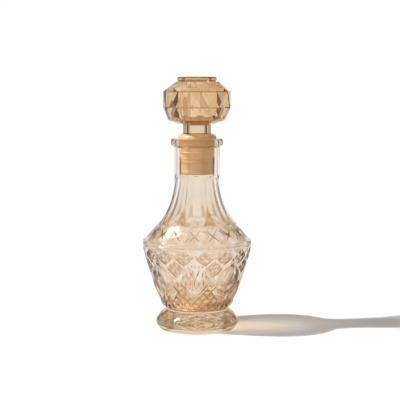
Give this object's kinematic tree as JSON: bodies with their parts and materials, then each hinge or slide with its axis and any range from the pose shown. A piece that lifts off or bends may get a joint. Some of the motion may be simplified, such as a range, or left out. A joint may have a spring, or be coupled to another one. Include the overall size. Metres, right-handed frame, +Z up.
{
  "type": "decanter with stopper",
  "caption": "Pressed-glass spirits decanter on a round foot, with cut diamonds, fans and panels, and a faceted glass stopper in a ribbed plastic seal.",
  "frame": {"origin": "middle of the foot, on the plane the decanter stands on", "axes": "+Z up along the bottle's axis, the front of the cut pattern towards -Y, +X to the right seen from the front"},
  "size_m": [0.1088, 0.1088, 0.25],
  "materials": {
    "bottle_glass": "pressed, pale champagne amber",
    "stopper_glass": "pressed, pale amber",
    "seal_plastic": "satin, translucent golden amber"
  },
  "bodies": {
    "root": {"bottle": "bottle_glass", "stopper": "stopper_glass", "seal": "seal_plastic"}
  },
  "joints": []
}
